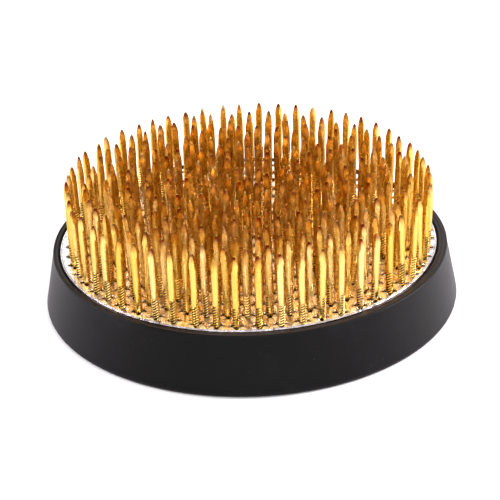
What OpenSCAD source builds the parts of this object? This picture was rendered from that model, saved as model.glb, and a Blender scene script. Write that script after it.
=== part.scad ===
// Flower frog (kenzan): a heavy cast disc set with upright brass pins, standing in a
// removable rubber ring. Stems are pushed onto the pins; the ring keeps the metal off the vase.
// Millimetres, +Z up. The origin is the centre of the underside, level with the table.

/* [Base casting] */
// Diameter of the cast base
base_d = 70.4; // [69.4:0.1:71]
// Height of the bed that the pins stand in, above the table
bed_z = 11.2; // [10:0.1:13]
// Width of the plain rim outside the bed
rim_w = 0.6; // [0.4:0.1:0.8]
// Step down from the bed to the rim
rim_step = 0.25; // [0.1:0.05:0.5]
// Chamfer round the upper and lower edges of the base
base_chamfer = 0.3; // [0.2:0.1:0.6]

/* [Rubber ring] */
// Outside diameter at the foot, the widest place
ring_foot_d = 77; // [75:0.5:80]
// Outside diameter at the top
ring_top_d = 73.2; // [72.6:0.1:74]
// Height of the ring
ring_h = 11.15; // [10.9:0.05:12.5]
// Radius of the rounded lower edge
ring_foot_r = 1.1; // [0.5:0.1:1.5]
// Radius of the rounded upper edge
ring_lip_r = 0.3; // [0.2:0.05:0.4]
// Fall of the lip from its outer edge in to the bore
ring_fall = 0.15; // [0.05:0.05:0.4]
// Thickness of the seat that the base stands on
seat_t = 1.5; // [1:0.1:2.5]
// Diameter of the opening in the seat
seat_d = 62; // [50:1:66]
// Gap between the ring's bore and the base, all round
ring_gap = 0.06; // [0.02:0.01:0.1]

/* [Pins] */
// Diameter of the pin wire
pin_d = 1.35; // [1.1:0.05:1.5]
// Height of a pin tip above the table
tip_z = 24.4; // [20:0.1:28]
// Length of the four-sided point
point_l = 3; // [2.5:0.1:6]
// Width of the blunt end left on the point
tip_w = 0.24; // [0.1:0.02:0.4]
// Length of wire held in the casting
set_depth = 4.4; // [3:0.1:6]
// Distance from one ring of pins to the next
pin_pitch = 3.66; // [3.4:0.02:3.7]
// Pins that each ring has more than the one inside it; the count is rounded
pins_step = 6.2; // [5:0.1:6.3]

/* [Hand-set scatter] */
// Seed of the scatter
scatter_seed = 11; // [1:1:99]
// Outward lean of the outermost ring of pins, in degrees; less towards the middle
splay = 1.2; // [0:0.1:2]
// Largest lean of a pin away from that, in degrees
lean_max = 2.2; // [0:0.1:2.5]
// Largest difference of a tip's height from tip_z
height_scatter = 0.35; // [0:0.05:0.5]
// Largest slip of a pin round its ring
slip_max = 0.25; // [0:0.05:0.3]

/* [Hidden] */
$fn = 96;
pin_rings = 9;
first_pin_at = -91.4;
arc_steps = 6;
base_r = base_d / 2;
bed_r = base_r - rim_w;
rim_z = bed_z - rim_step;
bore_r = base_r + ring_gap;
ring_foot_outer = ring_foot_d / 2;
ring_top_outer = ring_top_d / 2;
pin_r = pin_d / 2;
cast_gap = 0.01;
tip_edge = tip_w / 2;
point_slope = atan((pin_r - tip_edge) / point_l);
black_rubber = [0.13, 0.13, 0.14];
cast_alloy = [0.80, 0.80, 0.82];
pin_brass = [0.85, 0.62, 0.25];

// Points of an arc from angle a0 to a1 about [x, z]
function arc(x, z, r, a0, a1) =
    [for (i = [0:arc_steps]) let (a = a0 + (a1 - a0) * i / arc_steps) [x + r * cos(a), z + r * sin(a)]];

// How many pins a ring has; ring 0 is the single pin in the middle
function pins_in(ring) = max(1, round(pins_step * ring));

// Five numbers between 0 and 1 that set one pin's height, slip, direction of lean, lean and turn
function scatter(ring, i) = rands(0, 1, 5, scatter_seed + 100 * ring + i);

// A pin's length above the bed
function exposed(s) = tip_z - bed_z + height_scatter * (2 * s[0] - 1);

// The ring: rounded foot, wall leaning in towards the top, nearly level lip and a seat under the base
module rubber_ring() {
    color(black_rubber)
    rotate_extrude()
    polygon(concat(
        [[seat_d / 2, 0]],
        arc(ring_foot_outer - ring_foot_r, ring_foot_r, ring_foot_r, -90, 0),
        arc(ring_top_outer - ring_lip_r, ring_h - ring_lip_r, ring_lip_r, 10, 90),
        [[bore_r, ring_h - ring_fall], [bore_r, seat_t], [seat_d / 2, seat_t]]
    ));
}

// A disc with chamfered edges; its bed stands a small step above the rim
module base_blank() {
    rotate_extrude()
    polygon([
        [0, seat_t],
        [base_r - base_chamfer, seat_t],
        [base_r, seat_t + base_chamfer],
        [base_r, rim_z - base_chamfer],
        [base_r - base_chamfer, rim_z],
        [bed_r, rim_z],
        [bed_r, bed_z],
        [0, bed_z]
    ]);
}

// A length of wire on its own axis, with the bed at z = 0; a gap makes it into its socket
module wire(length, gap) {
    translate([0, 0, -set_depth - gap])
    cylinder(h = set_depth + gap + length, r = pin_r + gap);
}

// One brass pin: a wire cut to a four-sided point
module pin(length) {
    difference() {
        wire(length, 0);
        for (side = [0:3])
            rotate([0, 0, 90 * side])
            translate([tip_edge, 0, length])
            rotate([0, -point_slope, 0])
            translate([0, -pin_d, -2 * point_l])
            cube([pin_d, 2 * pin_d, 3 * point_l]);
    }
}

// Puts a pin or its socket in the bed, at its place in a ring, with its own lean and turn
module set_in_bed(ring, i, s) {
    radius = ring * pin_pitch;
    slip = ring == 0 ? 0 : slip_max * (2 * s[1] - 1) / radius * 180 / PI;
    rotate([0, 0, first_pin_at + 360 / pins_in(ring) * (i + ring % 2 / 2) + slip])
    translate([radius, 0, bed_z])
    rotate([0, splay * ring / pin_rings, 0])
    rotate([0, 0, 360 * s[2]])
    rotate([lean_max * s[3], 0, 0])
    rotate([0, 0, 360 * s[4]])
    children();
}

// All the pins of one ring
module pins(ring) {
    color(pin_brass)
    for (i = [0:pins_in(ring) - 1]) {
        s = scatter(ring, i);
        set_in_bed(ring, i, s) pin(exposed(s));
    }
}

// The cast base, closed round the foot of every pin
module base_casting() {
    color(cast_alloy)
    difference() {
        base_blank();
        for (ring = [0:pin_rings], i = [0:pins_in(ring) - 1]) {
            s = scatter(ring, i);
            set_in_bed(ring, i, s) wire(pin_d, cast_gap);
        }
    }
}

rubber_ring();
base_casting();
pins(0);  // pin_centre
pins(1);  // pins_ring_1
pins(2);  // pins_ring_2
pins(3);  // pins_ring_3
pins(4);  // pins_ring_4
pins(5);  // pins_ring_5
pins(6);  // pins_ring_6
pins(7);  // pins_ring_7
pins(8);  // pins_ring_8
pins(9);  // pins_ring_9
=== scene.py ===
"""Looks for a flower frog: brass pins set in a cast disc, which stands in a black rubber ring.

Everything is in metres, in the CAD model's frame: +Z up, the origin under the middle, level with
the table. Where each pin stands, how far it leans and how it is turned are read from the CAD nodes.
"""

import math
import random

import bmesh
import bpy
import numpy as np
from mathutils import Matrix, Vector, noise
from mathutils.geometry import delaunay_2d_cdt


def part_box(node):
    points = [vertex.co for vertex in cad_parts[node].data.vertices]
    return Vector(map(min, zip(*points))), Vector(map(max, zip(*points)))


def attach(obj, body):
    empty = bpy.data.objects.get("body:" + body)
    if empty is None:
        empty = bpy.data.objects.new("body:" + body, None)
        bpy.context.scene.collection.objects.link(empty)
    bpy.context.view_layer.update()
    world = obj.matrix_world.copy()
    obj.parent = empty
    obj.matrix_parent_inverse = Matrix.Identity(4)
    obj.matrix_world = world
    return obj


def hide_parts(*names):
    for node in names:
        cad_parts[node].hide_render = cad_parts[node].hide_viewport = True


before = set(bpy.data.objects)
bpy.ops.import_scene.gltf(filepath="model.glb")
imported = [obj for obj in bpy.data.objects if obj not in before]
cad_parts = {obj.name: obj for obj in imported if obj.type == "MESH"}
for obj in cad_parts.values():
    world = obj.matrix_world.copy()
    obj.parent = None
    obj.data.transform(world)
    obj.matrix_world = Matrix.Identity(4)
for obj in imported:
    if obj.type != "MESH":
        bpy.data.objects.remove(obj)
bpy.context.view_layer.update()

MM = 0.001
SEED = 20
MERGE = 0.001 * MM
PIN_NODES = [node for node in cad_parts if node.startswith("pin")]

# How far the casting and the ring's bore and lip sit off the middle, along X and Y
OFF_CENTRE = (-0.30 * MM, 0.25 * MM)

# Rubber ring: the CAD node's size, and the outline inside it
_, ring_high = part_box("rubber_ring")
RING_FOOT_RADIUS = ring_high.x
RING_HEIGHT = ring_high.z
RING_TOP_RADIUS = 36.6 * MM
RING_BORE = 35.26 * MM
RING_SEAT = 31.0 * MM
SEAT_THICKNESS = 1.5 * MM
SEAT_EASE = 0.15 * MM
FOOT_ROUND = 1.1 * MM
LIP_ROUND = 0.25 * MM
LIP_FALL = 0.15 * MM
LIP_EASE = (0.22 * MM, 0.25 * MM)
CREASE = 0.05 * MM
CREASE_AT = 3
RING_COLUMNS = 288
RING_SHARP = 40

# Unevenness of the ring, each as (depth, size of a feature): waves of its wall, and flash that
# stands up from its inner lip and reaches in from it
WALL_WAVE = (0.05 * MM, 9 * MM)
FLASH_UP = (0.14 * MM, 1.1 * MM)
FLASH_IN = (0.20 * MM, 1.6 * MM)
LIP_BAND = 0.3 * MM
LIP_MARGIN = 0.1 * MM

# Base casting
base_low, base_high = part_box("base_casting")
BASE_RADIUS = base_high.x
BASE_BOTTOM = base_low.z
BED = base_high.z
BED_RADIUS = BASE_RADIUS - 0.6 * MM
RIM_STEP = 0.25 * MM
EDGE_CHAMFER = 0.3 * MM
RIM_COLUMNS = 360
BED_SPACING = 0.55 * MM
UNDERSIDE_SHARES = (0.75, 0.4, 0.1)
BASE_SHARP = 50

# Unevenness of the casting, each as (depth, size of a feature), and how far the bed sinks
BED_WAVE = (0.05 * MM, 2.2 * MM)
BED_SINK = 0.03 * MM
BED_EDGE_SINK = 0.07 * MM
RIM_WAVE = (0.045 * MM, 1.4 * MM)
RIM_LIFT = 0.03 * MM

# Painted shade in the gap beside the ring: how far below the rim it stays full, where it has faded to
# # the painted shade of the side, and how dark that is
GAP_SHADE_FULL = 0.9 * MM
GAP_SHADE_FADED = 1.6 * MM
SIDE_SHADE = 0.32

# Star-shaped mark that the casting leaves round the foot of each pin: its rings of points, in
# millimetres from the pin's axis, and the points of each quarter of a ring, in degrees
STAR_RINGS = [0.60, 0.76, 0.90, 1.04, 1.18, 1.34, 1.52]
STAR_STEPS = [-45, -28, -17, -8, 0, 8, 17, 28]
STAR_SIZES = (0.8, 1.15)
STAR_LIP = 0.20 * MM
STAR_NOTCH = 0.65 * MM

# The mark's lip and notches, in millimetres from the pin's axis
LIP_CENTRE = 0.92
LIP_WIDTH = 0.24
NOTCH_TAPER = 0.50
NOTCH_POINT = 1.75
NOTCH_NARROWEST = 0.2
NOTCH_FADE_FROM = 1.10
NOTCH_FADE = 0.4

# Among the pins the bed is painted with a reflection of the brass pins, and its marks are lower beyond
# them
PIN_FIELD_RADIUS = 34.0 * MM
PIN_FIELD_FADE = 0.8 * MM
OUTER_MARK = 0.35

# Pins
PIN_RADIUS = 0.675 * MM
SET_DEPTH = 4.4 * MM
FOOT_BAND = 0.12 * MM
TIP_BAND = 0.04 * MM
SHAFT_PARTS = (0.0, 0.35, 0.7, 1.0)
POINT_LENGTH = (2.9 * MM, 4.0 * MM)
POINT_PARTS = (0.10, 0.2, 0.3, 0.42, 0.55, 0.7, 0.82, 0.92, 0.99)
POINT_POWER = 0.64
TIP_HALF_WIDTH = 0.09 * MM
TIP_EASE = 0.8
PIN_SIDES = 16
PIN_SHARP = 24

# Serrations cut into the foot of a pin
GRIP_PITCH = 0.5 * MM
GRIP_TEETH = 8
GRIP_DEPTH = 0.17 * MM
GRIP_DEPTH_SHARE = (0.7, 1.15)
GRIP_PROFILE = (0.0, 1.0, 0.55, 0.0)
GRIP_BELOW_BED = 0.3 * MM
GRIP_SHIFT = 0.3 * MM
GRIP_MARGIN = 0.15 * MM
GRIP_SPREAD = 2.6

# Colours of the brass: its tones from pin to pin, and what is mixed into them
BRASS_TONES = [
    (0.0, (0.80, 0.510, 0.110)),
    (0.5, (0.86, 0.590, 0.190)),
    (1.0, (0.90, 0.660, 0.300)),
]
BRASS_STREAK = (0.46, 0.285, 0.055)
BRASS_SPOT = (0.14, 0.05, 0.02)
# Painted shade in the serration grooves
BRASS_GROOVE_SHADE = (0.05, 0.015, 0.005)
# Painted shade on the top of each pin's point
BRASS_TIP_SHADE = (0.18, 0.030, 0.012)
BRASS_EDGE = (0.80, 0.50, 0.18)

# Colours of the cast alloy
ALLOY_TONES = [
    (0.30, (0.62, 0.61, 0.66)),
    (0.52, (0.82, 0.81, 0.85)),
    (0.75, (0.92, 0.91, 0.94)),
]
# Painted reflection of the brass pins in the bed among them
ALLOY_BRASS_REFLECTION = (0.78, 0.67, 0.52)
ALLOY_PIT = (0.16, 0.155, 0.16)
# Painted shade, put in the notches of the pins' marks and in the gap beside the ring
ALLOY_SHADE = (0.02, 0.012, 0.008)

# Colours of the rubber
RUBBER_TONES = [
    (0.32, (0.0008, 0.0008, 0.0009)),
    (0.55, (0.0022, 0.0021, 0.0024)),
    (0.75, (0.0090, 0.0082, 0.0092)),
]
RUBBER_DUST = (0.10, 0.10, 0.105)
RUBBER_SHEEN = (1.0, 0.88, 0.98)

# Camera
CAMERA_ELEVATION = 28.52
CAMERA_DISTANCE = 328.3 * MM
CAMERA_AIM = Vector((-0.04 * MM, 0.0, 8.68 * MM))
CAMERA_ROLL = 2.13
CAMERA_LENS = 124.75
SENSOR_WIDTH = 36.0
CLIP = (0.01, 20.0)

# Studio: the table, the room's own light, and the softboxes with their place, the point that
# they face, size, power and colour
TABLE_HALF = 4.0
TABLE_WHITE = (0.83, 0.83, 0.83)
TABLE_ROUGHNESS = 0.9
ROOM_WHITE = (1, 1, 1)
ROOM_LIGHT = 0.50
SOFTBOXES = [
    ("front_softbox", (0, -1.6, 1.4), (0, 0, 0), 2.3, 37.0, (1, 1, 1)),
    ("back_softbox", (0, 1.4, 0.8), (0, 0, 0), 0.6, 2.5, (1, 1, 1)),
    ("left_softbox", (-1.1, 0.1, 0.55), (0, 0, 0.01), 0.6, 11.0, (1.0, 0.95, 0.99)),
    ("right_softbox", (1.1, 0.1, 0.55), (0, 0, 0.01), 0.6, 23.0, (1.0, 0.95, 0.98)),
]


# ---------------------------------------------------------------- mesh helpers

def make_piece(name, points, faces, material, sharp_degrees):
    """A smooth-shaded mesh object, with its edges kept sharp above an angle."""
    mesh = bpy.data.meshes.new(name)
    mesh.from_pydata([tuple(p) for p in points], [], faces)
    mesh.polygons.foreach_set("use_smooth", [True] * len(mesh.polygons))
    mesh.set_sharp_from_angle(angle=math.radians(sharp_degrees))
    mesh.validate()
    mesh.materials.append(material)
    piece = bpy.data.objects.new(name, mesh)
    bpy.context.scene.collection.objects.link(piece)
    return piece


def store(mesh, values):
    """Stores numbers on the points of a mesh, one for each point under each name."""
    for name, given in values.items():
        mesh.attributes.new(name, "FLOAT", "POINT").data.foreach_set("value", given)


def arc(centre_r, centre_z, radius, start, stop, steps):
    """Points (r, z) of an arc from one angle to another, in degrees."""
    angles = np.radians(np.linspace(start, stop, steps + 1))
    return [(centre_r + radius * math.cos(a), centre_z + radius * math.sin(a)) for a in angles]


def line(start, stop, steps):
    """Points (r, z) between two points, without the ends."""
    shares = [(i + 1) / (steps + 1) for i in range(steps)]
    return [
        (start[0] + (stop[0] - start[0]) * s, start[1] + (stop[1] - start[1]) * s)
        for s in shares
    ]


def rough(x, y, z, size, seed=0.0):
    """Smooth noise from about -1 to 1 whose features are about that size."""
    return noise.noise(Vector((x / size + seed, y / size - seed, z / size + 2 * seed)))


# ---------------------------------------------------------------- material helpers

def new_material(name):
    """A material with an untouched Principled shader: the material, its nodes, links and shader."""
    material = bpy.data.materials.new(name)
    material.use_nodes = True
    tree = material.node_tree
    return material, tree.nodes, tree.links, tree.nodes["Principled BSDF"]


def coordinates(nodes, links, scale):
    """Object coordinates stretched by a scale along each axis."""
    place = nodes.new("ShaderNodeTexCoord")
    mapping = nodes.new("ShaderNodeMapping")
    mapping.inputs["Scale"].default_value = scale
    links.new(place.outputs["Object"], mapping.inputs["Vector"])
    return mapping.outputs["Vector"]


def noise_field(nodes, links, scale, detail, roughness, stretch=(1, 1, 1)):
    """A noise value whose features are about 1 / scale metres across."""
    field = nodes.new("ShaderNodeTexNoise")
    field.inputs["Scale"].default_value = scale
    field.inputs["Detail"].default_value = detail
    field.inputs["Roughness"].default_value = roughness
    links.new(coordinates(nodes, links, stretch), field.inputs["Vector"])
    return field.outputs["Fac"]


def ramp(nodes, links, value, stops):
    """A colour ramp over a value; each stop is (place, colour)."""
    made = nodes.new("ShaderNodeValToRGB")
    elements = made.color_ramp.elements
    while len(elements) < len(stops):
        elements.new(0.5)
    for element, (place, colour) in zip(elements, stops):
        element.position = place
        element.color = (*colour, 1.0)
    links.new(value, made.inputs["Fac"])
    return made.outputs["Color"]


def give(links, socket, given):
    """Links a socket into an input, or sets the input to a plain value."""
    if isinstance(given, bpy.types.NodeSocket):
        links.new(given, socket)
    else:
        socket.default_value = given


def mix(nodes, links, factor, base, colour):
    """A base colour mixed by a factor towards a plain colour."""
    made = nodes.new("ShaderNodeMix")
    made.data_type = "RGBA"
    links.new(factor, made.inputs[0])
    links.new(base, made.inputs[6])
    made.inputs[7].default_value = (*colour, 1.0)
    return made.outputs[2]


def math_node(nodes, links, operation, a, b):
    """One step of arithmetic on sockets or numbers."""
    made = nodes.new("ShaderNodeMath")
    made.operation = operation
    give(links, made.inputs[0], a)
    give(links, made.inputs[1], b)
    return made.outputs[0]


def between(nodes, links, value, low, high, to_low, to_high):
    """A value taken from one range to another, and kept inside it."""
    made = nodes.new("ShaderNodeMapRange")
    made.inputs["From Min"].default_value = low
    made.inputs["From Max"].default_value = high
    made.inputs["To Min"].default_value = to_low
    made.inputs["To Max"].default_value = to_high
    links.new(value, made.inputs["Value"])
    return made.outputs["Result"]


def bump(nodes, links, shader, height, strength, distance, after=None):
    """Bump from a height field, on top of an earlier bump if one is given."""
    made = nodes.new("ShaderNodeBump")
    made.inputs["Strength"].default_value = strength
    made.inputs["Distance"].default_value = distance
    links.new(height, made.inputs["Height"])
    if after:
        links.new(after, made.inputs["Normal"])
    links.new(made.outputs["Normal"], shader.inputs["Normal"])
    return made.outputs["Normal"]


def attribute(nodes, name):
    """A number stored on the mesh."""
    made = nodes.new("ShaderNodeAttribute")
    made.attribute_name = name
    return made.outputs["Fac"]


# ---------------------------------------------------------------- materials

def brass_material():
    """Drawn brass wire: its own tone for each pin, drawing lines, spots, painted shade in the serration
    cuts and painted shade on the tip.
    """
    material, nodes, links, shader = new_material("drawn_brass")
    body = ramp(nodes, links, attribute(nodes, "pin_tone"), BRASS_TONES)

    streaks = noise_field(nodes, links, 3200.0, 3.0, 0.6, (1, 1, 0.05))
    streaked = between(nodes, links, streaks, 0.45, 0.68, 0.0, 0.48)
    body = mix(nodes, links, streaked, body, BRASS_STREAK)

    spots = noise_field(nodes, links, 2100.0, 2.0, 0.5)
    spotted = between(nodes, links, spots, 0.70, 0.75, 0.0, 0.85)
    body = mix(nodes, links, spotted, body, BRASS_SPOT)

    # Painted shade: the serration grooves are darkened as deep as they are cut
    groove_shade = between(nodes, links, attribute(nodes, "pin_groove_shade"), 0.15, 0.6, 0.0, 0.96)
    body = mix(nodes, links, groove_shade, body, BRASS_GROOVE_SHADE)

    # Painted shade: the point darkens patchily towards its tip, while the flat cut end is left
    # undarkened
    patchy = between(nodes, links, noise_field(nodes, links, 420.0, 2.0, 0.5), 0.35, 0.6, 0.40, 1.0)
    near_tip = between(nodes, links, attribute(nodes, "pin_rise"), 0.87, 0.97, 0.0, 1.0)
    tip_shade = math_node(nodes, links, "MULTIPLY", near_tip, patchy)
    body = mix(nodes, links, tip_shade, body, BRASS_TIP_SHADE)

    links.new(body, shader.inputs["Base Color"])
    shader.inputs["Metallic"].default_value = 1.0
    shader.inputs["Specular Tint"].default_value = (*BRASS_EDGE, 1.0)
    wear = noise_field(nodes, links, 900.0, 2.0, 0.5)
    links.new(between(nodes, links, wear, 0.3, 0.7, 0.20, 0.35), shader.inputs["Roughness"])

    upward = nodes.new("ShaderNodeCombineXYZ")
    upward.inputs["Z"].default_value = 1.0
    links.new(upward.outputs["Vector"], shader.inputs["Tangent"])
    shader.inputs["Anisotropic"].default_value = 0.7
    shader.inputs["Anisotropic Rotation"].default_value = 0.25
    bump(nodes, links, shader, streaks, 0.45, 0.00004)
    return material


def alloy_material():
    """As-cast white alloy: mottled and pitted, sandy, with a painted reflection of the brass among
    the pins, and painted shade in its marks and in the gap beside the ring.
    """
    material, nodes, links, shader = new_material("cast_alloy")
    mottle = noise_field(nodes, links, 420.0, 4.0, 0.6)
    body = ramp(nodes, links, mottle, ALLOY_TONES)

    # Painted reflection: the bed among the pins is tinted with the pins' brass, a little unevenly
    uneven = between(nodes, links, mottle, 0.3, 0.6, 1.0, 0.7)
    painted_brass_reflection = math_node(nodes, links, "MULTIPLY", attribute(nodes, "painted_brass_reflection"), uneven)
    body = mix(nodes, links, painted_brass_reflection, body, ALLOY_BRASS_REFLECTION)

    pits = noise_field(nodes, links, 1100.0, 2.0, 0.5)
    pitted = between(nodes, links, pits, 0.66, 0.72, 0.0, 0.85)
    body = mix(nodes, links, pitted, body, ALLOY_PIT)

    # Painted shade: darkens the notches round the pins' feet and the casting's edge beside the ring
    shade_amount = between(nodes, links, attribute(nodes, "painted_shade"), 0.10, 0.60, 0.0, 0.98)
    body = mix(nodes, links, shade_amount, body, ALLOY_SHADE)

    links.new(body, shader.inputs["Base Color"])
    shader.inputs["Metallic"].default_value = 0.92
    links.new(between(nodes, links, mottle, 0.3, 0.7, 0.16, 0.30), shader.inputs["Roughness"])
    skin = noise_field(nodes, links, 5200.0, 3.0, 0.6)
    sandy = bump(nodes, links, shader, skin, 0.15, 0.00003)
    bump(nodes, links, shader, pits, 0.5, -0.0002, sandy)
    return material


def rubber_material():
    """Moulded black rubber: matt, faintly dusty, with a fine grain, and dullest at its foot."""
    material, nodes, links, shader = new_material("black_rubber")
    bloom = noise_field(nodes, links, 60.0, 5.0, 0.6)
    body = ramp(nodes, links, bloom, RUBBER_TONES)

    dust = noise_field(nodes, links, 2500.0, 2.0, 0.7)
    dusty = between(nodes, links, dust, 0.70, 0.78, 0.0, 0.35)
    body = mix(nodes, links, dusty, body, RUBBER_DUST)
    links.new(body, shader.inputs["Base Color"])

    gloss = between(nodes, links, bloom, 0.3, 0.8, 0.40, 0.56)
    height = nodes.new("ShaderNodeSeparateXYZ")
    links.new(coordinates(nodes, links, (1, 1, 1)), height.inputs["Vector"])
    foot = between(nodes, links, height.outputs["Z"], 0.4 * MM, FOOT_ROUND, 0.45, 0.0)
    links.new(math_node(nodes, links, "ADD", gloss, foot), shader.inputs["Roughness"])

    shader.inputs["Specular IOR Level"].default_value = 0.17
    shader.inputs["Sheen Weight"].default_value = 0.10
    shader.inputs["Sheen Roughness"].default_value = 0.45
    shader.inputs["Sheen Tint"].default_value = (*RUBBER_SHEEN, 1.0)
    grain = noise_field(nodes, links, 6000.0, 2.0, 0.6)
    grained = bump(nodes, links, shader, grain, 0.22, 0.00004)
    bump(nodes, links, shader, bloom, 0.35, 0.0003, grained)
    return material


# ---------------------------------------------------------------- rubber ring

def ring_profile():
    """The ring's outline (r, z), once round: seat, foot, leaning wall, rounded edge, lip and bore."""
    foot = arc(RING_FOOT_RADIUS - FOOT_ROUND, FOOT_ROUND, FOOT_ROUND, -90, 8, 8)
    lip = arc(RING_TOP_RADIUS - LIP_ROUND, RING_HEIGHT - LIP_ROUND, LIP_ROUND, 12, 90, 4)
    inner = (RING_BORE + LIP_EASE[0], RING_HEIGHT - LIP_FALL)
    crease = line(lip[-1], inner, 7)
    crease[CREASE_AT] = (crease[CREASE_AT][0], crease[CREASE_AT][1] - CREASE)
    bore_top = (RING_BORE, RING_HEIGHT - LIP_FALL - LIP_EASE[1])
    bore_foot = (RING_BORE, SEAT_THICKNESS)
    seat_top = (RING_SEAT + SEAT_EASE, SEAT_THICKNESS)
    seat_edge = (RING_SEAT, SEAT_THICKNESS - SEAT_EASE)
    seat_foot = (RING_SEAT, SEAT_EASE)
    under = (RING_SEAT + SEAT_EASE, 0.0)
    return (
        [under] + line(under, foot[0], 3) + foot + line(foot[-1], lip[0], 14) + lip
        + crease + [inner, bore_top] + line(bore_top, bore_foot, 3)
        + [bore_foot] + line(bore_foot, seat_top, 2) + [seat_top, seat_edge, seat_foot]
    )


def build_ring(material):
    """The rubber ring, with the unevenness of a soft moulding and a little flash on its inner lip."""
    outline = ring_profile()
    lip_edge = RING_TOP_RADIUS - LIP_ROUND - LIP_MARGIN
    lip_floor = RING_HEIGHT - LIP_FALL - LIP_MARGIN
    points, faces = [], []
    for column in range(RING_COLUMNS):
        angle = 2 * math.pi * column / RING_COLUMNS
        c, s = math.cos(angle), math.sin(angle)
        for r, z in outline:
            off = 1.0 if r < lip_edge and z >= SEAT_THICKNESS else 0.0
            outside = r > RING_BORE + LIP_BAND and FOOT_ROUND < z < RING_HEIGHT - LIP_ROUND
            inner_lip = RING_BORE < r < RING_BORE + LIP_BAND and z > lip_floor
            if outside:
                r -= WALL_WAVE[0] * (1 + rough(r * c, r * s, z, WALL_WAVE[1]))
            if inner_lip:
                z += FLASH_UP[0] * max(0.0, rough(r * c, r * s, 0, FLASH_UP[1], 3.0))
                r -= FLASH_IN[0] * max(0.0, rough(r * c, r * s, 0, FLASH_IN[1], 7.0))
            points.append((r * c + off * OFF_CENTRE[0], r * s + off * OFF_CENTRE[1], z))
    rows = len(outline)
    for column in range(RING_COLUMNS):
        here = column * rows
        there = (column + 1) % RING_COLUMNS * rows
        for row in range(rows):
            up = (row + 1) % rows
            faces.append((here + row, there + row, there + up, here + up))
    piece = make_piece("rubber_ring_moulding", points, faces, material, RING_SHARP)
    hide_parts("rubber_ring")
    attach(piece, "ring")


# ---------------------------------------------------------------- reading the pins

def solids_of(node):
    """The points of each separate solid in a CAD node."""
    bm = bmesh.new()
    bm.from_mesh(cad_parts[node].data)
    bmesh.ops.remove_doubles(bm, verts=bm.verts, dist=MERGE)
    bm.verts.ensure_lookup_table()
    seen = [False] * len(bm.verts)
    solids = []
    for start in bm.verts:
        if seen[start.index]:
            continue
        seen[start.index] = True
        waiting, found = [start], []
        while waiting:
            vertex = waiting.pop()
            found.append(tuple(vertex.co))
            for edge in vertex.link_edges:
                other = edge.other_vert(vertex)
                if not seen[other.index]:
                    seen[other.index] = True
                    waiting.append(other)
        solids.append(np.array(found))
    bm.free()
    return solids


def read_pin(points):
    """A pin's lower end, the way it points, its length, and two directions square to its facets."""
    low, high = points[:, 2].min(), points[:, 2].max()
    foot = points[points[:, 2] < low + FOOT_BAND].mean(axis=0)
    corners = points[points[:, 2] > high - TIP_BAND]
    tip = corners.mean(axis=0)
    length = np.linalg.norm(tip - foot)
    axis = (tip - foot) / length
    corner = corners[0] - tip
    corner -= axis * (corner @ axis)
    corner /= np.linalg.norm(corner)
    across = np.cross(axis, corner)
    return {
        "foot": foot,
        "axis": axis,
        "length": length,
        "u": (corner + across) / math.sqrt(2),
        "v": (across - corner) / math.sqrt(2),
    }


def place_in_bed(pin):
    """Where a pin's axis meets the bed."""
    rise = (BED - pin["foot"][2]) / pin["axis"][2]
    return pin["foot"] + pin["axis"] * rise


# ---------------------------------------------------------------- pins

def pin_sections(length, grip_start, point_length):
    """Sections up a pin: height from its lower end, half width of the square that bounds it, step of
    the serrations if it is among them, and share of the way from the bed to the tip."""
    wide = 2 * PIN_RADIUS
    span = length - SET_DEPTH

    def share(height):
        return min(1.0, max(0.0, (height - SET_DEPTH) / span))

    sections = [
        (0.0, 0.0, None, 0.0),
        (0.0, wide, None, 0.0),
        (grip_start - GRIP_MARGIN, wide, None, 0.0),
    ]
    steps = len(GRIP_PROFILE)
    for step in range(GRIP_TEETH * steps + 1):
        height = grip_start + step * GRIP_PITCH / steps
        sections.append((height, wide, step, share(height)))
    grip_end = grip_start + GRIP_TEETH * GRIP_PITCH + GRIP_MARGIN
    shoulder = length - point_length
    for part in SHAFT_PARTS:
        height = grip_end + (shoulder - grip_end) * part
        sections.append((height, wide, None, share(height)))
    for part in POINT_PARTS:
        half = TIP_HALF_WIDTH + (PIN_RADIUS - TIP_HALF_WIDTH) * (1 - part) ** POINT_POWER
        height = shoulder + point_length * part
        sections.append((height, half, None, share(height)))
    sections.append((length, TIP_EASE * TIP_HALF_WIDTH, None, -1.0))
    sections.append((length, 0.0, None, -1.0))
    return sections


def grip_cut(step, side, turn):
    """How deep the serrations cut a section on one of its sides, from 0 to 1."""
    place = (side + turn * 2) % (PIN_SIDES // 2)
    if place > PIN_SIDES // 4:
        place -= PIN_SIDES // 2
    reach = max(0.0, 1 - (abs(place) / GRIP_SPREAD) ** 2)
    return GRIP_PROFILE[(step - place) % len(GRIP_PROFILE)] * math.sqrt(reach)


def pin_mesh(pin, rng, start_index):
    """The points and faces of one pin, from its end inside the casting to its point, with each
    point's share of the way up and how deep it is cut, which also sets the painted shade
    in the serrations."""
    grip_start = SET_DEPTH - GRIP_BELOW_BED + rng.uniform(-GRIP_SHIFT, GRIP_SHIFT)
    depth = GRIP_DEPTH * rng.uniform(*GRIP_DEPTH_SHARE)
    turn = rng.choice((0, 2))
    sections = pin_sections(pin["length"], grip_start, rng.uniform(*POINT_LENGTH))
    points, rises, groove_shade = [], [], []
    for height, half, step, share in sections:
        rises += [share] * PIN_SIDES
        for side in range(PIN_SIDES):
            angle = 2 * math.pi * side / PIN_SIDES
            c, s = math.cos(angle), math.sin(angle)
            cut = 0.0 if step is None else grip_cut(step, side, turn)
            r = min(PIN_RADIUS, half / max(abs(c), abs(s))) - depth * cut
            groove_shade.append(cut)
            across = pin["u"] * (r * c) + pin["v"] * (r * s)
            points.append(pin["foot"] + pin["axis"] * height + across)
    faces = []
    for row in range(len(sections) - 1):
        lower = start_index + row * PIN_SIDES
        upper = lower + PIN_SIDES
        for side in range(PIN_SIDES):
            after = (side + 1) % PIN_SIDES
            faces.append((lower + side, lower + after, upper + after, upper + side))
    return points, faces, {"pin_rise": rises, "pin_groove_shade": groove_shade}


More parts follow.
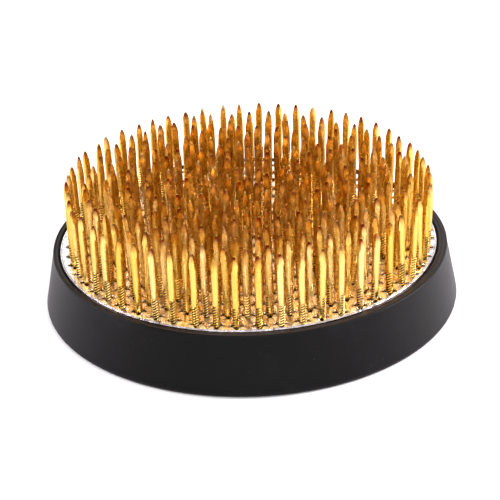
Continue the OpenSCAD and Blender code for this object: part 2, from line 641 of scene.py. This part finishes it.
def build_pins(node, pins, material, rng):
    """All the pins of one CAD node as one piece, each with its own tone."""
    points, faces = [], []
    values = {"pin_tone": [], "pin_rise": [], "pin_groove_shade": []}
    for pin in pins:
        more, more_faces, marks = pin_mesh(pin, rng, len(points))
        points += more
        faces += more_faces
        values["pin_tone"] += [rng.random()] * len(more)
        for name, given in marks.items():
            values[name] += given
    piece = make_piece(node + "_wire", points, faces, material, PIN_SHARP)
    mesh = piece.data
    store(mesh, values)
    bm = bmesh.new()
    bm.from_mesh(mesh)
    bmesh.ops.remove_doubles(bm, verts=bm.verts, dist=2 * MERGE)
    bm.to_mesh(mesh)
    bm.free()
    mesh.set_sharp_from_angle(angle=math.radians(PIN_SHARP))
    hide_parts(node)
    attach(piece, "pin_holder")


# ---------------------------------------------------------------- base casting

def star_mark(distance, angle):
    """The mark round a pin's foot, four raised lips with a notch between each two: its height, and
    how much painted shade darkens its notches there."""
    reach = distance / MM
    lip = STAR_LIP * math.exp(-(((reach - LIP_CENTRE) / LIP_WIDTH) ** 2))
    sideways = reach * min(abs(math.sin(angle)), abs(math.cos(angle)))
    width = NOTCH_TAPER * max(NOTCH_NARROWEST, NOTCH_POINT - reach)
    along = max(0.0, 1 - max(0.0, reach - NOTCH_FADE_FROM) / NOTCH_FADE)
    notch = math.exp(-((sideways / width) ** 4)) * along
    return lip - (STAR_NOTCH + lip) * notch, notch


def from_middle(x, y):
    """Distance from the middle of the casting, which is a little off the middle of the pins."""
    return math.hypot(x - OFF_CENTRE[0], y - OFF_CENTRE[1])


def bed_points(feet):
    """Plan points of the bed, rings of points round each pin's foot and a plain spread between them.
    Each has None or a mark: its pin's number, its distance from the pin's axis, and its angle."""
    points, marks = [], []
    angles = [math.radians(90 * quarter + step) for quarter in range(4) for step in STAR_STEPS]
    for index, foot in enumerate(feet):
        for reach in STAR_RINGS:
            for angle in angles:
                x = foot[0] + reach * MM * math.cos(angle)
                y = foot[1] + reach * MM * math.sin(angle)
                if from_middle(x, y) < BED_RADIUS - 0.12 * MM:
                    points.append((x, y))
                    marks.append((index, reach * MM, angle))
    feet_xy = np.array([foot[:2] for foot in feet])
    clear = (STAR_RINGS[-1] + 0.15) * MM
    steps = int(BASE_RADIUS / BED_SPACING) + 1
    for row in range(-steps, steps + 1):
        for column in range(-steps, steps + 1):
            x = (column + 0.5 * (row % 2)) * BED_SPACING
            y = row * BED_SPACING * math.sqrt(3) / 2
            if from_middle(x, y) > BED_RADIUS - 0.35 * MM:
                continue
            if np.hypot(*(feet_xy - (x, y)).T).min() > clear:
                points.append((x, y))
                marks.append(None)
    return points, marks


def base_outline(rim):
    """The casting's outline (r, z) from the edge of the bed: crease, rim, side and underside."""
    crease = [
        (BED_RADIUS + 0.03 * MM, rim - 0.12 * MM),
        (BED_RADIUS + 0.12 * MM, rim - 0.10 * MM),
        (BED_RADIUS + 0.18 * MM, rim),
        (BASE_RADIUS - EDGE_CHAMFER - 0.03 * MM, rim + RIM_LIFT),
    ]
    edge = arc(BASE_RADIUS - EDGE_CHAMFER, rim - EDGE_CHAMFER + RIM_LIFT, EDGE_CHAMFER, 80, 0, 3)
    side = [
        (BASE_RADIUS, rim - GAP_SHADE_FULL),
        (BASE_RADIUS, rim - GAP_SHADE_FADED),
        (BASE_RADIUS, BASE_BOTTOM + EDGE_CHAMFER),
        (BASE_RADIUS - EDGE_CHAMFER, BASE_BOTTOM),
    ]
    return crease + edge + side + [(BASE_RADIUS * share, BASE_BOTTOM) for share in UNDERSIDE_SHARES]


def build_base(feet, material, rng):
    """The base casting: a bed marked round every pin, a crease, a plain rim, a side and an underside."""
    plan, marks = bed_points(feet)
    sizes = [rng.uniform(*STAR_SIZES) for _ in feet]
    turns = [2 * math.pi * column / RIM_COLUMNS for column in range(RIM_COLUMNS)]
    first_edge = len(plan)
    for turn in turns:
        x = BED_RADIUS * math.cos(turn) + OFF_CENTRE[0]
        y = BED_RADIUS * math.sin(turn) + OFF_CENTRE[1]
        plan.append((x, y))
        marks.append("edge")
    corners, _, triangles, origins, _, _ = delaunay_2d_cdt([Vector(p) for p in plan], [], [], 0, 1e-9)

    points, painted_shade, painted_brass_reflection, edge_at = [], [], [], {}
    for index, ((x, y), origin) in enumerate(zip(corners, origins)):
        mark = marks[origin[0]]
        shade_amount = 0.0
        # How far a point is among the pins sets both its painted brass reflection and the height of its
        # mark
        past_pins = (PIN_FIELD_RADIUS - math.hypot(x, y)) / PIN_FIELD_FADE
        among_pins = min(1.0, max(0.0, past_pins))
        z = BED + BED_WAVE[0] * rough(x, y, 0, BED_WAVE[1]) - BED_SINK
        if mark == "edge":
            z = BED - BED_EDGE_SINK
            edge_at[origin[0] - first_edge] = index
        elif mark:
            pin, distance, angle = mark
            # The notches of the mark also get painted shade
            height, shade_amount = star_mark(distance, angle)
            z += sizes[pin] * height * (OUTER_MARK + (1 - OUTER_MARK) * among_pins)
        points.append((x, y, z))
        painted_shade.append(shade_amount)
        painted_brass_reflection.append(among_pins)
    faces = [tuple(triangle) for triangle in triangles]

    rim = BED - RIM_STEP
    before = [edge_at[column] for column in range(RIM_COLUMNS)]
    for r, z in base_outline(rim):
        on_rim = BED_RADIUS < r < BASE_RADIUS - 0.2 * MM and z > BASE_BOTTOM + EDGE_CHAMFER
        in_gap = r > BASE_RADIUS - EDGE_CHAMFER and z > rim - GAP_SHADE_FADED
        below_gap = z <= rim - GAP_SHADE_FADED
        row = []
        for turn in turns:
            x = r * math.cos(turn) + OFF_CENTRE[0]
            y = r * math.sin(turn) + OFF_CENTRE[1]
            lift = RIM_WAVE[0] * rough(x, y, z, RIM_WAVE[1], 5.0) if on_rim else 0.0
            row.append(len(points))
            points.append((x, y, z + lift))
            # Painted shade: the casting's edge in the gap beside the ring is darkened, and its side
            # below less so
            painted_shade.append(1.0 if in_gap else SIDE_SHADE if below_gap else 0.0)
            painted_brass_reflection.append(0.0)
        for column in range(RIM_COLUMNS):
            after = (column + 1) % RIM_COLUMNS
            faces.append((before[column], row[column], row[after], before[after]))
        before = row
    faces.append(tuple(before))
    piece = make_piece("base_casting_bed", points, faces, material, BASE_SHARP)
    store(piece.data, {"painted_shade": painted_shade, "painted_brass_reflection": painted_brass_reflection})
    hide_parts("base_casting")
    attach(piece, "pin_holder")


# ---------------------------------------------------------------- studio

def build_camera():
    """A long lens, looking down on the front of the object, tipped a little to one side."""
    lift = math.radians(CAMERA_ELEVATION)
    place = CAMERA_DISTANCE * Vector((0, -math.cos(lift), math.sin(lift)))
    ahead = CAMERA_AIM - place
    data = bpy.data.cameras.new("camera")
    data.lens = CAMERA_LENS
    data.sensor_width = SENSOR_WIDTH
    data.clip_start, data.clip_end = CLIP
    camera = bpy.data.objects.new("camera", data)
    camera.location = place
    level = ahead.to_track_quat("-Z", "Y").to_matrix()
    tip = Matrix.Rotation(math.radians(-CAMERA_ROLL), 3, "Z")
    camera.rotation_euler = (level @ tip).to_euler()
    bpy.context.scene.collection.objects.link(camera)
    bpy.context.scene.camera = camera


def build_table():
    """A plain white table top."""
    material, _, _, shader = new_material("white_table")
    shader.inputs["Base Color"].default_value = (*TABLE_WHITE, 1.0)
    shader.inputs["Roughness"].default_value = TABLE_ROUGHNESS
    corners = [(x * TABLE_HALF, y * TABLE_HALF, 0) for x, y in ((-1, -1), (1, -1), (1, 1), (-1, 1))]
    mesh = bpy.data.meshes.new("table_top")
    mesh.from_pydata(corners, [], [(0, 1, 2, 3)])
    mesh.materials.append(material)
    floor = bpy.data.objects.new("table_top", mesh)
    bpy.context.scene.collection.objects.link(floor)


def area_light(name, place, target, size, power, colour):
    """A square soft light at a place, facing a target."""
    data = bpy.data.lights.new(name, "AREA")
    data.shape = "SQUARE"
    data.size = size
    data.energy = power
    data.color = colour
    light = bpy.data.objects.new(name, data)
    light.location = place
    ahead = Vector(target) - Vector(place)
    light.rotation_euler = ahead.to_track_quat("-Z", "Y").to_euler()
    bpy.context.scene.collection.objects.link(light)


def build_studio():
    """A white table in a white room, lit softly from the front, the back and both sides."""
    build_table()
    world = bpy.data.worlds.new("white_room")
    world.use_nodes = True
    background = world.node_tree.nodes["Background"]
    background.inputs["Color"].default_value = (*ROOM_WHITE, 1)
    background.inputs["Strength"].default_value = ROOM_LIGHT
    bpy.context.scene.world = world
    for softbox in SOFTBOXES:
        area_light(*softbox)
    bpy.context.scene.view_settings.view_transform = "Standard"
    bpy.context.scene.view_settings.look = "Medium High Contrast"


# ---------------------------------------------------------------- making it

build_camera()
build_studio()
rng = random.Random(SEED)
brass, alloy, rubber = brass_material(), alloy_material(), rubber_material()
pins_by_node = {node: [read_pin(points) for points in solids_of(node)] for node in PIN_NODES}
build_ring(rubber)
build_base([place_in_bed(pin) for pins in pins_by_node.values() for pin in pins], alloy, rng)
for node, pins in pins_by_node.items():
    build_pins(node, pins, brass, rng)
